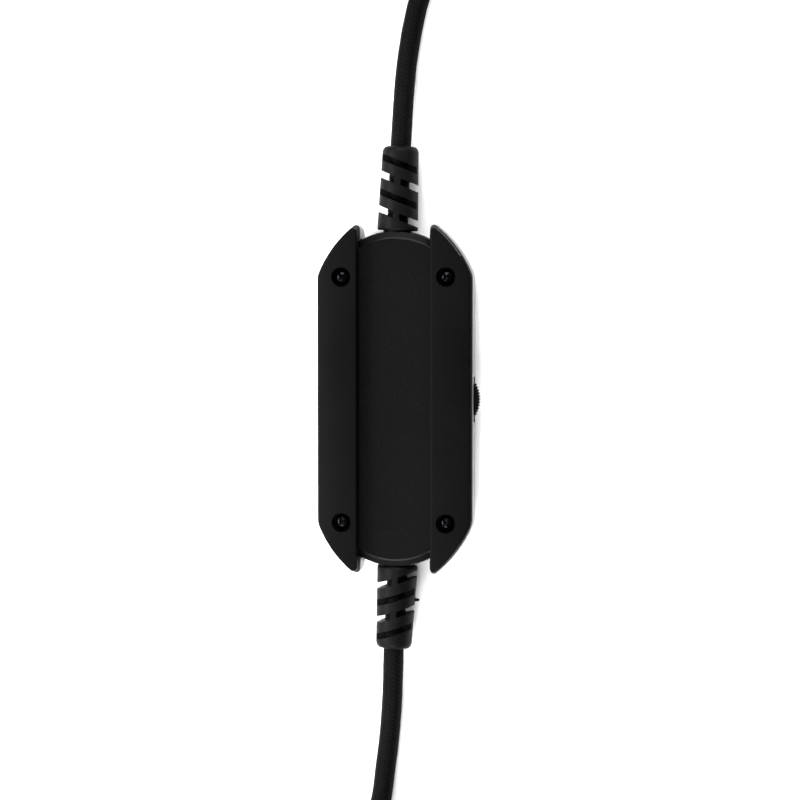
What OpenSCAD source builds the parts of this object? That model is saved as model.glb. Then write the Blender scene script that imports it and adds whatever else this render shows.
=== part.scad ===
// In-line control box of a headset, with its two braided leads.
// It lies on its front face: +Z is the rear face, +Y runs along the leads, +X is the wheel's side.
// The origin is the middle of the flat front face.

/* [Housing] */
// Width over the front shell
shell_w = 34.7; // [33.6:0.1:38]
// Length of the straight sides
side_l = 54.9; // [51:0.1:58]
// Length over the horns, before their tips are rounded
horn_l = 79.3; // [77:0.1:81]
// Gap between the two horns at each end
horn_gap = 15.6; // [15:0.1:17]
// Radius of the bulged corners between sides and horns
corner_r = 26.5; // [24:0.1:40]
// Radius of the bend between side and corner
bend_r = 5.0; // [4.5:0.1:7]
// Radius of the horns' tips
tip_r = 0.9; // [0.5:0.05:1.2]
// Depth of the front shell
shell_h = 10.0; // [10:0.1:12]
// Wall of the front shell
wall = 1.6; // [1.4:0.1:1.8]
// Floor of the front shell
floor_t = 1.6; // [1.4:0.1:1.6]
// Width of the shell's rim that shows round the rear cover
ledge = 0.4; // [0.2:0.05:0.8]
// Set-back of the rear cover's inner horn walls
horn_ledge = 0.3; // [0.1:0.05:0.5]
// Radius of the arched ends between the horns
arch_r = 16.0; // [14:0.1:20]
// Distance from the middle to the shell's arched ends
arch_y = 37.5; // [36.5:0.1:38.2]
// Thickness of the end walls in the middle
end_wall = 4.2; // [3.6:0.1:4.4]

/* [Rear cover] */
// Height of the wings over the front shell
wing_h = 3.5; // [3:0.1:4.5]
// Radius of the wings' crown
crown_r = 40; // [25:1:80]
// Thickness of the channel's plate
plate_t = 1.5; // [1.2:0.1:1.6]
// Width of the sloping band at the channel's ends
band_w = 1.5; // [1:0.1:2]
// Drop of that band
band_h = 1.0; // [0.6:0.1:1.2]
// Depth of the cover's end walls under the channel
end_drop = 2.5; // [2:0.1:2.8]
// Gap between the cover and what it fits into
cover_fit = 0.15; // [0.1:0.05:0.3]

/* [Screws] */
// Distance between the cover screws across the box
screw_dx = 23.2; // [22:0.1:24]
// Distance between the cover screws along the box
screw_dy = 54.3; // [52:0.1:55]
// Diameter of the counterbores
counterbore_d = 4.3; // [3.8:0.1:4.8]
// Depth of the screw seats below the wings' crown
seat_depth = 2.9; // [2.4:0.1:3.2]
// Diameter of the screw heads
head_d = 3.0; // [2.6:0.1:3.4]
// Height of the screw heads
head_h = 1.1; // [0.8:0.1:1.4]
// Diameter of the screw shanks
shank_d = 1.9; // [1.6:0.1:2.1]
// Diameter of the screw bosses in the shell
boss_d = 5.0; // [4.4:0.1:5.4]
// Radial gap between a screw and its hole
screw_fit = 0.05; // [0.02:0.01:0.1]

/* [Volume wheel] */
// Diameter of the volume wheel
wheel_d = 15.0; // [14:0.1:15.4]
// Thickness of the volume wheel
wheel_t = 2.8; // [2.2:0.1:2.8]
// How far the wheel stands out of the side
wheel_out = 1.3; // [0.8:0.1:1.6]
// Number of teeth in the knurl
knurl_n = 67; // [48:1:72]
// Depth of the knurl
knurl_depth = 0.3; // [0.15:0.05:0.4]
// Running gap round the wheel
wheel_gap = 0.4; // [0.3:0.05:0.45]
// Diameter of the potentiometer's shaft
shaft_d = 4.0; // [3.6:0.1:4.4]
// Flat on the shaft, as a depth
shaft_flat = 0.6; // [0.4:0.1:0.8]
// Radial gap between shaft and potentiometer body
shaft_fit = 0.08; // [0.05:0.01:0.1]

/* [Mute slider] */
// Length of the mute slider's knob
knob_l = 6.0; // [5:0.1:6.6]
// Width of the mute slider's knob
knob_w = 2.2; // [1.8:0.1:2.4]
// How far the knob stands out of the side
knob_out = 0.6; // [0.5:0.1:0.9]
// Travel of the slider to each side
knob_travel = 1.0; // [0.8:0.1:1.2]
// Running gap round the knob and its lever
knob_gap = 0.3; // [0.25:0.05:0.35]

/* [Board] */
// Length of the circuit board
board_l = 44; // [40:0.5:46]
// Thickness of the circuit board
board_t = 1.0; // [0.8:0.1:1.0]
// Gap under the circuit board
board_lift = 0.4; // [0.3:0.1:0.4]
// Distance between the board screws
board_screw_dy = 36; // [30:0.5:38]
// Head diameter of the board screws
board_head_d = 3.4; // [3:0.1:3.8]
// Head height of the board screws
board_head_h = 1.0; // [0.8:0.1:1.2]
// Shank diameter of the board screws
board_shank_d = 1.7; // [1.4:0.1:1.7]
// Diameter of the capacitors
cap_d = 4.0; // [3:0.1:4.2]
// Height of the capacitors
cap_h = 4.4; // [3:0.1:4.6]
// Height of the potentiometer's body
pot_h = 1.7; // [1.5:0.1:1.7]

/* [Strain relief] */
// Length of the slotted sleeve
sleeve_l = 18.6; // [17:0.1:20]
// Diameter of the sleeve at the box
sleeve_d = 9.1; // [8.8:0.1:9.6]
// Diameter of the sleeve at its tip
sleeve_tip_d = 7.9; // [7.2:0.1:8.4]
// Diameter of the neck in the box's end wall
neck_d = 6.4; // [6:0.1:6.6]
// Height of the cord's axis over the front face
cord_z = 5.0; // [4.95:0.05:5.1]
// Distance between the slots of the sleeve
slot_pitch = 3.87; // [3.7:0.01:4]
// Width of the slots
slot_w = 1.4; // [1.2:0.1:1.8]
// Slant of the slots
slot_slant = 20; // [0:1:24]
// Width of the posts between the open slots
post_w = 1.3; // [1.1:0.1:2.2]
// Height of the bridges beside the long slots
bridge_w = 2.4; // [1.6:0.1:2.8]
// Lean of the upper sleeve
upper_lean = 2.2; // [0:0.1:3]
// Lean of the lower sleeve
lower_lean = 2.8; // [0:0.1:3]

/* [Leads] */
// Diameter of the braided cord
cord_d = 4.5; // [4:0.1:4.6]
// Radial gap round the cord in its sleeve
cord_fit = 0.1; // [0.08:0.01:0.2]
// Radius of the innermost folds of a hank
fold_r = 13.5; // [13.5:0.1:14]
// Half the length of a hank's straight runs
run_h = 20; // [19.5:0.1:22]
// Distance between two turns side by side
turn_pitch = 5.5; // [5.4:0.1:5.8]
// Distance between two layers of turns
layer_pitch = 4.95; // [4.95:0.05:5.2]
// How far the tie draws in the waist of a hank
waist_in = 6; // [5.5:0.1:6.2]
// Width of the ties
tie_w = 8; // [6:0.5:9]
// Thickness of the ties
tie_t = 0.8; // [0.6:0.1:0.9]
// Layers of the upper lead's hank
upper_layers = 2; // [2:2:4]
// Layers of the lower lead's hank
lower_layers = 4; // [2:2:4]

/* [Plugs] */
// Diameter of the jack
jack_d = 3.5; // [3.5:0.1:3.5]
// Length of the jack
jack_l = 14; // [13.5:0.5:15]
// Diameter of the plug's grip
grip_d = 7.5; // [6.5:0.1:8]
// Length of the plug's grip
grip_l = 14; // [12:0.5:18]

/* [Hidden] */
$fn = 48;

black = "#1c1c1c";
silver = "#b4b4b4";
steel = "#6a6a6a";
rubber = "#262626";
braid = "#1e1e1e";
gold = "#c8a850";
board_green = "#1f4a34";

half_w = shell_w / 2;
horn_x = horn_gap / 2;
box_h = shell_h + wing_h;
cavity_y = arch_y - end_wall;
draft = 0.08;
crown_x = horn_x + 2.5;
pocket_x = horn_x + horn_ledge + 1.6;
seat_z = box_h - seat_depth;
plate_z = shell_h - plate_t;
end_z = shell_h - end_drop;
end_half = horn_x + horn_ledge + 0.2;
board_z = floor_t + board_lift;
board_top = board_z + board_t;
cavity_x = half_w - wall;
board_x = cavity_x - 0.2;
board_screw_x = horn_x / 2;

wheel_r = wheel_d / 2;
wheel_x = half_w + wheel_out - wheel_r;
wheel_z = board_top + pot_h + 0.3;
hub_top = wheel_z + wheel_t - 0.5;
hub_d = shaft_d + 3;

knob_z = 5.5;
switch_d = 3.6;
switch_l = 8.6;
switch_h = 3.4;
flange_t = 0.8;
lever_s = 1.3;
flange_x = cavity_x - 0.35;
switch_x = flange_x - flange_t - 0.4;

cord_r = cord_d / 2;
bore_r = cord_r + cord_fit;
cord_end = cavity_y - 3.8;
sleeve_y = arch_y + 0.05;
first_slot = 3.15;
tie_lift = tie_t + 0.3;
outer_r = fold_r + turn_pitch;
tail_r = outer_r - 4.5;
hank_x = -1.4;
relief_l = 5;

// Where a circle of radius r passes through a and b, its centre on the left of the way a to b
function centre_of(a, b, r) =
    let (d = b - a, h = norm(d) / 2)
    (a + b) / 2 + [-d[1], d[0]] / norm(d) * sqrt(r * r - h * h);
function arc(c, r, a0, a1, n) =
    [for (i = [0:n]) let (a = a0 + (a1 - a0) * i / n) c + r * [cos(a), sin(a)]];
function flip(p) = [for (i = [len(p) - 1:-1:0]) p[i]];
function tail(p) = [for (i = [1:len(p) - 1]) p[i]];
function inner(p) = [for (i = [1:len(p) - 2]) p[i]];
function mirrored(p, sx, sy) = [for (q = p) [q[0] * sx, q[1] * sy]];
function soft(x) = let (c = min(max(x, 0), 1)) c * c * (3 - 2 * c);

corner_c = centre_of([half_w, side_l / 2], [horn_x, horn_l / 2], corner_r);

// The bend from the corner's arc into the side, inset by e
function bend(e) =
    let (r = max(bend_r - e, 0.6), x = half_w - e - r)
    [x, corner_c[1] + sqrt(pow(corner_r - e - r, 2) - pow(x - corner_c[0], 2)), r];
function bend_angle(e) = let (b = bend(e)) atan2(b[1] - corner_c[1], b[0] - corner_c[0]);

// One horn, from its inner wall round its tip to the side: e insets the outside, ei the inner wall
function horn(e, ei, rt) =
    let (x = horn_x + ei + rt,
         y = corner_c[1] + sqrt(pow(corner_r - e - rt, 2) - pow(x - corner_c[0], 2)),
         a1 = atan2(y - corner_c[1], x - corner_c[0]),
         a2 = bend_angle(e), b = bend(e))
    concat(arc([x, y], rt, 180, a1, 5), inner(arc(corner_c, corner_r - e, a1, a2, 9)),
        arc([b[0], b[1]], b[2], a2, 0, 4));

// A quarter of the shell's outline, from the arch's top to the side; the horn's inner wall has a draft
function shell_quarter(e, ei) =
    let (r = arch_r - ei, a = asin((horn_x + ei - draft) / r))
    concat(arc([0, arch_y - arch_r], r, 90, 90 - a, 5), horn(e, ei, max(tip_r - ei, 0.3)));

// The whole outline, clockwise
function shell_outline(e, ei) =
    let (q = shell_quarter(e, ei))
    concat(q, flip(mirrored(q, 1, -1)), tail(mirrored(q, -1, -1)), flip(tail(mirrored(q, -1, 1))));
function wing_outline(e) =
    let (q = horn(ledge + e, horn_ledge + e, max(tip_r - e, 0.2)))
    concat(q, flip(mirrored(q, 1, -1)));

// The room inside, inset by e and cut off at y = ye
function room_outline(e, ye) =
    let (r = corner_r - e, b = bend(e),
         q = concat(arc(corner_c, r, asin((ye - corner_c[1]) / r), bend_angle(e), 7),
             tail(arc([b[0], b[1]], b[2], bend_angle(e), 0, 3))))
    concat(q, flip(mirrored(q, 1, -1)), mirrored(q, -1, -1), flip(mirrored(q, -1, 1)));

// A skin over rings of points, clockwise and from the bottom up, closed by the faces in cap
module skin(rings, cap) {
    n = len(rings[0]);
    m = len(rings);
    sides = [for (k = [0:m - 2]) for (i = [0:n - 1])
        let (a = k * n + i, b = k * n + (i + 1) % n)
        each [[a, b, b + n], [a, b + n, a + n]]];
    top = [for (f = cap) [for (i = f) (m - 1) * n + i]];
    polyhedron([for (r = rings) each r], concat(sides, top, [for (f = cap) flip(f)]));
}

// Strips that close an outline of n points between points i and their images in y
function strips(n) = [for (i = [0:n / 2 - 2]) [i, i + 1, n - 2 - i, n - 1 - i]];
function shell_cap(n) =
    let (m = (n + 2) / 4)
    concat(strips(2 * m), [for (j = [0:m - 2])
        [2 * m - 1 + j, 2 * m + j, 4 * m - 3 - j, j == 0 ? 0 : 4 * m - 2 - j]]);
function lifted(p, z) = [for (q = p) [q[0], q[1], z]];

// ---- housing ----

shell_rings = [[0, 3.0, 0.8], [0.5, 1.8, 0.3], [1.4, 0.9, 0.05], [2.6, 0.3, 0], [4.2, 0, 0],
    [shell_h - 0.3, 0, 0], [shell_h, 0.15, 0]];

module shell_body() {
    rings = [for (s = shell_rings) lifted(shell_outline(s[1], s[2]), s[0])];
    skin(rings, shell_cap(len(rings[0])));
}

module at_screws() {
    for (sx = [-1, 1]) for (sy = [-1, 1])
        translate([sx * screw_dx / 2, sy * screw_dy / 2, 0]) children();
}

module at_board_screws() {
    for (sy = [-1, 1]) translate([-board_screw_x, sy * board_screw_dy / 2, 0]) children();
}

module at_ends() {
    children();
    mirror([0, 1, 0]) children();
}

module front_shell() {
    boss_r = boss_d / 2;
    color(silver) difference() {
        union() {
            difference() {
                shell_body();
                translate([0, 0, floor_t])
                    linear_extrude(shell_h) polygon(room_outline(wall, cavity_y));
                at_ends() translate([-horn_x - 0.2, cavity_y - 0.4, end_z])
                    cube([horn_gap + 0.4, end_wall - 1.4, shell_h]);
                at_ends() translate([-end_half - 0.1, cavity_y - 0.4, end_z])
                    cube([2 * end_half + 0.2, end_wall - 1.95, shell_h]);
                at_ends() translate([0.6 - horn_x, cavity_y - 0.5, end_z - 0.05])
                    cube([horn_gap - 1.2, 6, shell_h]);
            }
            at_screws() translate([0, 0, floor_t - 0.5])
                cylinder(r = boss_r, h = plate_z - floor_t + 0.5);
            at_board_screws() translate([0, 0, floor_t - 0.5])
                cylinder(r = 2.2, h = board_lift + 0.5);
            at_ends() for (sx = [-1, 1]) translate([sx * 4.6 - 1, cavity_y - 2.8, floor_t - 0.3])
                cube([2, 1, cord_z + 1.5 - floor_t]);
        }
        at_screws() translate([0, 0, floor_t + 0.6])
            cylinder(d = shank_d + 2 * screw_fit, h = shell_h);
        at_board_screws() translate([0, 0, 0.7]) cylinder(d = board_shank_d + 2 * screw_fit, h = 4);
        at_ends() translate([0, cavity_y - 1, cord_z]) rotate([-90, 0, 0])
            cylinder(d = neck_d + 0.2, h = 6);
        at_ends() translate([-neck_d / 2 - 0.05, cavity_y - 0.5, cord_z])
            cube([neck_d + 0.1, 6, shell_h]);
        translate([wheel_x, 0, wheel_z - wheel_gap])
            cylinder(r = wheel_r + 0.5, h = wheel_t + 2 * wheel_gap);
        translate([-half_w - 1, -knob_l / 2 - knob_travel - knob_gap, knob_z - knob_w / 2 - knob_gap])
            cube([wall + 2, knob_l + 2 * (knob_travel + knob_gap), knob_w + 2 * knob_gap]);
    }
}

// One wing of the rear cover: a crowned rail that ends in two horns
wing_steps = [[0.45, 0], [0.17, 0.06], [0.05, 0.2], [0, 0.45], [0, 1.0], [0, 2.2]];
function crown(x, drop) = box_h - pow(x - crown_x, 2) / 2 / crown_r - drop;

module wing() {
    foot = lifted(wing_outline(0), shell_h);
    rings = concat([foot], [for (s = wing_steps)
        [for (q = wing_outline(s[1])) [q[0], q[1], crown(q[0], s[0])]]]);
    skin(rings, strips(len(foot)));
}

module cover_end() {
    intersection() {
        translate([-end_half, cavity_y - 1.5, end_z]) cube([2 * end_half, end_wall + 2, end_drop]);
        translate([0, arch_y - 0.3 - arch_r, end_z]) union() {
            cylinder(r = arch_r, h = end_drop - band_h);
            translate([0, 0, end_drop - band_h])
                multmatrix([[1, 0, 0, 0], [0, 1, -band_w / band_h, 0], [0, 0, 1, 0]])
                    cylinder(r = arch_r, h = band_h);
        }
    }
}

module rear_cover() {
    color(black) difference() {
        union() {
            wing();
            mirror([1, 0, 0]) wing();
            translate([0, 0, plate_z]) linear_extrude(plate_t)
                polygon(room_outline(wall + cover_fit, cavity_y - cover_fit));
            at_ends() cover_end();
        }
        for (sx = [0, 1]) mirror([sx, 0, 0]) translate([pocket_x, 4 - screw_dy / 2, plate_z - 1])
            cube([cavity_x - 0.9 - pocket_x, screw_dy - 8, wing_h + 1]);
        at_screws() translate([0, 0, seat_z]) cylinder(d = counterbore_d, h = 6);
        at_screws() translate([0, 0, plate_z - 1]) cylinder(d = shank_d + 0.4, h = 6);
        at_ends() translate([0, cavity_y - 2, cord_z]) rotate([-90, 0, 0])
            cylinder(d = neck_d + 0.2, h = 8);
    }
}

// ---- fasteners ----

// A cross-recess screw with a domed head that stands on z = 0
module screw(d, h, shank, l) {
    difference() {
        union() {
            rotate_extrude() polygon([[0, 0], [d / 2, 0], [d / 2, h * 0.55], [d * 0.42, h * 0.85],
                [d * 0.25, h], [0, h]]);
            translate([0, 0, -l]) cylinder(d = shank, h = l + 0.2);
        }
        for (a = [0, 90]) rotate([0, 0, a + 40])
            translate([-d * 0.29, -d * 0.065, h * 0.4]) cube([d * 0.58, d * 0.13, h]);
    }
}

module cover_screws() {
    color(steel) at_screws() translate([0, 0, seat_z])
        screw(head_d, head_h, shank_d, seat_z - floor_t - 1.2);
}

module board_screws() {
    color(steel) at_board_screws() translate([0, 0, board_top])
        screw(board_head_d, board_head_h, board_shank_d, board_top - 0.9);
}

module wheel_screw() {
    color(steel) translate([wheel_x, 0, hub_top]) screw(3.6, 0.8, 1.4, 1.6);
}

// ---- board and what is soldered to it ----

module circuit_board() {
    color(board_green) difference() {
        translate([-board_x, -board_l / 2, board_z]) cube([2 * board_x, board_l, board_t]);
        at_board_screws() translate([0, 0, board_z - 1]) cylinder(d = board_shank_d + 0.3, h = 4);
    }
}

module amplifier_chip() {
    color(black) translate([-4.5, -6, board_top]) {
        cube([4, 5, 1.4]);
        for (i = [0:3]) for (sx = [0, 1])
            translate([sx ? 3.9 : -0.9, 0.4 + 1.27 * i, 0]) cube([1, 0.4, 0.7]);
    }
}

module capacitors() {
    base = cap_d + 0.4;
    color("#303848") for (y = [-12.5, 3.5]) translate([wheel_x - wheel_r - cap_d / 2, y, board_top]) {
        cylinder(d = cap_d, h = cap_h);
        translate([-base / 2, -base / 2, 0]) cube([base, base, 0.4]);
    }
}

module potentiometer_body() {
    color("#2a2a2e") translate([wheel_x, 0, board_top]) difference() {
        translate([-4.4, -4.6, 0]) cube([8.8, 9.2, pot_h]);
        translate([0, 0, 0.4]) cylinder(d = shaft_d + 2 * shaft_fit, h = pot_h);
    }
}

module potentiometer_terminals() {
    color(gold) for (y = [-4, -2, 0, 2, 4])
        translate([wheel_x - 6.4, y - 0.35, board_top]) cube([2, 0.7, 0.3]);
}

// The shaft with its flat, as used for the shaft and, larger by gap, for the hub's bore
module shaft(d, flat, h) {
    difference() {
        cylinder(d = d, h = h);
        translate([d / 2 - flat, -d, -1]) cube([d, 2 * d, h + 2]);
    }
}

module potentiometer_shaft() {
    color(steel) translate([wheel_x, 0, board_top + 0.45]) difference() {
        union() {
            cylinder(d = shaft_d, h = pot_h - 0.3);
            shaft(shaft_d, shaft_flat, hub_top - board_top - 0.55);
        }
        translate([0, 0, 1.2]) cylinder(d = 1.5, h = 10);
    }
}

function knurl(r) = [for (i = [0:4 * knurl_n - 1])
    let (a = i * 90 / knurl_n, d = knurl_depth * [0, 0.35, 1, 0.35][i % 4]) (r - d) * [cos(a), sin(a)]];

module volume_wheel() {
    rim = 0.25;
    color(rubber) translate([wheel_x, 0, wheel_z]) difference() {
        union() {
            linear_extrude(wheel_t) polygon(knurl(wheel_r - rim));
            translate([0, 0, rim]) linear_extrude(wheel_t - 2 * rim) polygon(knurl(wheel_r));
        }
        translate([0, 0, wheel_t - 0.8]) difference() {
            cylinder(r = wheel_r - 1.4, h = 2);
            translate([0, 0, -1]) cylinder(d = hub_d, h = 4);
        }
        translate([0, 0, wheel_t - 0.5]) cylinder(d = hub_d + 1, h = 2);
        translate([0, 0, -1])
            shaft(shaft_d + 2 * screw_fit, shaft_flat, wheel_t + 2);
    }
}

// The knob outside, its flange inside the wall, and a pocket in the flange for the lever
module mute_slider() {
    z = knob_w / 2 + knob_gap + 0.9;
    y = knob_l / 2 + 2 * knob_travel + knob_gap + 0.4;
    color(black) translate([0, 0, knob_z]) difference() {
        union() {
            translate([-half_w - knob_out, -knob_l / 2, -knob_w / 2])
                cube([half_w + knob_out - flange_x + 0.1, knob_l, knob_w]);
            translate([-flange_x, -y, -z]) cube([flange_t, 2 * y, 2 * z]);
        }
        for (y = [-1.8, -0.6, 0.6, 1.8]) translate([-half_w - knob_out - 1, y - 0.25, -knob_w])
            cube([1.3, 0.5, 2 * knob_w]);
        translate([-flange_x - 0.3, -lever_s / 2 - 0.05, -lever_s / 2 - 0.05])
            cube([2, lever_s + 0.1, lever_s + 0.1]);
    }
}

module switch_lever() {
    color(rubber) translate([-flange_x - 0.2, -lever_s / 2, knob_z - lever_s / 2])
        cube([flange_x - switch_x + 2, lever_s, lever_s]);
}

module switch_body() {
    w = lever_s + 2 * (knob_travel + 0.15);
    h = lever_s + 0.2;
    color(steel) difference() {
        translate([-switch_x, -switch_l / 2, board_top]) cube([switch_d, switch_l, switch_h]);
        translate([-switch_x - 1, -w / 2, knob_z - h / 2]) cube([3.2, w, h]);
    }
}

module switch_terminals() {
    color(gold) for (y = [-2.5, 0, 2.5])
        translate([-switch_x + switch_d, y - 0.35, board_top]) cube([1.4, 0.7, 0.3]);
}

// ---- strain reliefs ----

module slot_cut(k) {
    y = first_slot + k * slot_pitch;
    translate([0, y, 0]) difference() {
        rotate([0, 0, -slot_slant]) translate([-8, -slot_w / 2, -8]) cube([16, slot_w, 16]);
        if (k % 2 == 0) translate([-post_w / 2, -8, -9]) cube([post_w, 16, 18]);
        if (k % 2 == 1) translate([-9, -8, -bridge_w / 2]) cube([18, 16, bridge_w]);
    }
}

// The slotted sleeve, along +Y from its base
module sleeve() {
    r = sleeve_tip_d / 2;
    difference() {
        rotate([-90, 0, 0]) rotate_extrude() polygon([[0, 0], [sleeve_d / 2 - 0.2, 0],
            [sleeve_d / 2, 0.3], [r + 0.1, sleeve_l - 1.2], [r - 0.1, sleeve_l - 0.55],
            [r - 0.45, sleeve_l - 0.15], [r - 0.9, sleeve_l], [0, sleeve_l]]);
        for (k = [0:3]) slot_cut(k);
        translate([0, 0.6, 0]) rotate([-90, 0, 0]) cylinder(r = bore_r, h = sleeve_l + 1);
    }
}

module strain_relief(lean) {
    color(rubber) translate([0, 0, cord_z]) difference() {
        union() {
            translate([0, sleeve_y, 0]) rotate([0, 0, -lean]) sleeve();
            translate([0, cavity_y - 1.5, 0]) rotate([-90, 0, 0])
                cylinder(d = neck_d, h = sleeve_y - cavity_y + 1.9);
            translate([-4.6, cavity_y - 1.6, -neck_d / 2])
                cube([9.2, 1.5, end_z - 0.1 - cord_z + neck_d / 2]);
        }
        translate([0, cavity_y - 3, 0]) rotate([-90, 0, 0])
            cylinder(r = bore_r + 0.3, h = sleeve_y - cavity_y + 4);
    }
}

module upper_strain_relief() { strain_relief(upper_lean); }
module lower_strain_relief() {
    rotate([0, 0, 180]) mirror([1, 0, 0]) strain_relief(-lower_lean);
}

module crimp() {
    color(steel) translate([0, cord_end + 0.4, cord_z]) rotate([-90, 0, 0]) difference() {
        cylinder(r = bore_r + 0.6, h = 1.6);
        translate([0, 0, -1]) cylinder(r = bore_r - 0.05, h = 4);
    }
}

module upper_crimp() { crimp(); }
module lower_crimp() { mirror([0, 1, 0]) crimp(); }

// ---- cords ----

// A tube of radius r and n sides swept along points that never run straight up
module tube(points, r, n) {
    last = len(points) - 1;
    function along(i) = points[min(i + 1, last)] - points[max(i - 1, 0)];
    rings = [for (i = [0:last])
        let (t = along(i) / norm(along(i)), s = cross(t, [0, 0, 1]), side = s / norm(s), up = cross(side, t))
        [for (k = [0:n - 1]) let (a = -360 * (k + 0.5) / n) points[i] + r * (cos(a) * side + sin(a) * up)]];
    sides = [for (i = [0:last - 1]) for (k = [0:n - 1])
        let (a = i * n + k, b = i * n + (k + 1) % n)
        each [[a, b + n, b], [a, a + n, b + n]]];
    polyhedron([for (g = rings) each g], concat(sides,
        [[for (k = [0:n - 1]) k]], [[for (k = [n - 1:-1:0]) last * n + k]]));
}

// Point of the hank at t loops from its start, in the hank's own frame: it runs up the right side,
// round the far fold, down the left side and round the near fold
function spiral_r(t) =
    let (u = max(t - floor(t) - 0.25, 0) / 0.75) outer_r - turn_pitch * (floor(t) % 2 ? 1 - u : u);
function layer_z(t, layers) =
    cord_r + layer_pitch * [for (k = [1:layers - 1]) soft((t - k) * 4)] * [for (k = [1:layers - 1]) 1];
function waist(y) = (1 + cos(180 * y / run_h)) / 2;
function waisted(x, y, z) =
    [x - sign(x) * waist_in * waist(y), y, z + tie_lift * waist(y)];
function loop_point(t, layers) =
    let (u = t - floor(t), r = spiral_r(t), z = layer_z(t, layers), a = 720 * (u - 0.25))
    u < 0.25 ? waisted(r, run_h * (8 * u - 1), z) :
    u < 0.5 ? [r * cos(a), run_h + r * sin(a), z] :
    u < 0.75 ? waisted(-r, run_h * (5 - 8 * u), z) :
    let (b = 180 + 720 * (u - 0.75)) [r * cos(b), -run_h + r * sin(b), z];
function step_t(k) =
    let (m = k % 12) floor(k / 12) / 2 + (m < 5 ? m / 20 : 0.25 + (m - 5) / 28);
function plug_z(layers) =
    2 * cord_r + (layers - 1) * layer_pitch + tie_lift + 0.2 + tie_t + grip_d / 2 + 0.1;
tail_run = 14;

// The last near fold climbs to the top and leads to the plug
function tail_point(i, layers) =
    let (fold = PI * outer_r, run = tail_run - cord_d, s = (i < 7 ? i / 7 * fold : fold + (i - 7) / 2 * run),
         r0 = spiral_r(layers - 0.25), z0 = layer_z(layers - 0.25, layers),
         z = z0 + (plug_z(layers) - z0) * soft(s / (fold + run)),
         f = min(i / 7, 1), r = r0 + (tail_r - r0) * soft(f), a = 180 + 180 * f)
    i < 8 ? [r * cos(a), -run_h + r * sin(a), z] : [tail_r, -run_h + (i - 7) / 2 * run, z];
function hank_points(layers) = concat(
    [[outer_r, -run_h - cord_d, cord_r]],
    [for (k = [0:24 * layers - 8]) loop_point(step_t(k), layers)],
    [for (i = [0:9]) tail_point(i, layers)],
    [[tail_r, -run_h + tail_run, plug_z(layers)]]);

// Least distance between two parts of a line of points that are over gap_run apart along it
function finer(p, n) = concat([for (i = [0:len(p) - 2]) for (j = [0:n - 1]) p[i] + (p[i + 1] - p[i]) * j / n],
    [p[len(p) - 1]]);
function least_gap(points) =
    let (p = finer(points, 4), m = len(p))
    min([for (i = [0:m - 20]) for (j = [i + 18:m - 1]) norm(p[i] - p[j])]) - cord_d;
echo(upper_hank_gap = least_gap(hank_points(upper_layers)));
echo(lower_hank_gap = least_gap(hank_points(lower_layers)));

module at_upper_hank() { translate([hank_x, upper_hank_y, 0]) children(); }
module at_lower_hank() { rotate([0, 0, 180]) translate([hank_x, lower_hank_y, 0]) children(); }
upper_hank_y = 135;
lower_hank_y = 139.5;

function swing(p, lean) = [for (q = p) [q[0] + (q[1] > sleeve_y ? (q[1] - sleeve_y) * tan(lean) : 0), q[1], q[2]]];
upper_route = concat(
    swing([[0, cord_end, cord_z], [0, sleeve_y, cord_z], [0, 56, cord_z]], upper_lean),
    [[0.95, 61, 4.6], [1.3, 68.5, 3.5], [1.95, 76, 2.6], [3.4, 84.5, 2.25],
     [4.4, 88.5, 2.25], [5.8, 92.3, 2.25], [8.1, 95.6, 2.25], [10.7, 98.1, 2.25], [13.3, 100.6, 2.25],
     [15.5, 103.3, 2.25], [17, 106.7, 2.25], [17.6, 110.5, 2.25]]);
lower_route = concat(
    swing([[0, cord_end, cord_z], [0, sleeve_y, cord_z], [0, 56, cord_z]], lower_lean),
    [[1.05, 61, 4.6], [1.45, 68.5, 3.5], [2.1, 76, 2.6], [3.15, 84.5, 2.25],
     [4.2, 92, 2.25], [5.6, 96.6, 2.25], [8, 100, 2.25], [10.7, 102.6, 2.25], [13.3, 105.1, 2.25],
     [15.5, 107.8, 2.25], [17, 111.2, 2.25], [17.6, 115, 2.25]]);

module upper_lead() { color(braid) tube(upper_route, cord_r, 8); }
module lower_lead() { color(braid) rotate([0, 0, 180]) tube(lower_route, cord_r, 8); }
module upper_hank() { color(braid) at_upper_hank() tube(hank_points(upper_layers), cord_r, 6); }
module lower_hank() { color(braid) at_lower_hank() tube(hank_points(lower_layers), cord_r, 6); }

// A rounded rectangle from its corners and radius, made of squares and circles
module rounded(x0, x1, z0, z1, r) {
    translate([x0 + r, z0]) square([x1 - x0 - 2 * r, z1 - z0]);
    translate([x0, z0 + r]) square([x1 - x0, z1 - z0 - 2 * r]);
    for (x = [x0 + r, x1 - r]) for (z = [z0 + r, z1 - r]) translate([x, z]) circle(r);
}

module tie(layers) {
    side = cord_r * 1.06 + 0.15 - waist_in * waist(tie_w / 2);
    x0 = turn_pitch * 0.45 - outer_r - side;
    x1 = outer_r + side;
    z0 = tie_t + 0.05;
    z1 = 2 * cord_r + (layers - 1) * layer_pitch + tie_lift + 0.2;
    color(black) translate([0, tie_w / 2, 0]) rotate([90, 0, 0]) linear_extrude(tie_w) difference() {
        rounded(x0 - tie_t, x1 + tie_t, z0 - tie_t, z1 + tie_t, 2 + tie_t);
        rounded(x0, x1, z0, z1, 2);
    }
}

module upper_tie() { at_upper_hank() tie(upper_layers); }
module lower_tie() { at_lower_hank() tie(lower_layers); }

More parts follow.
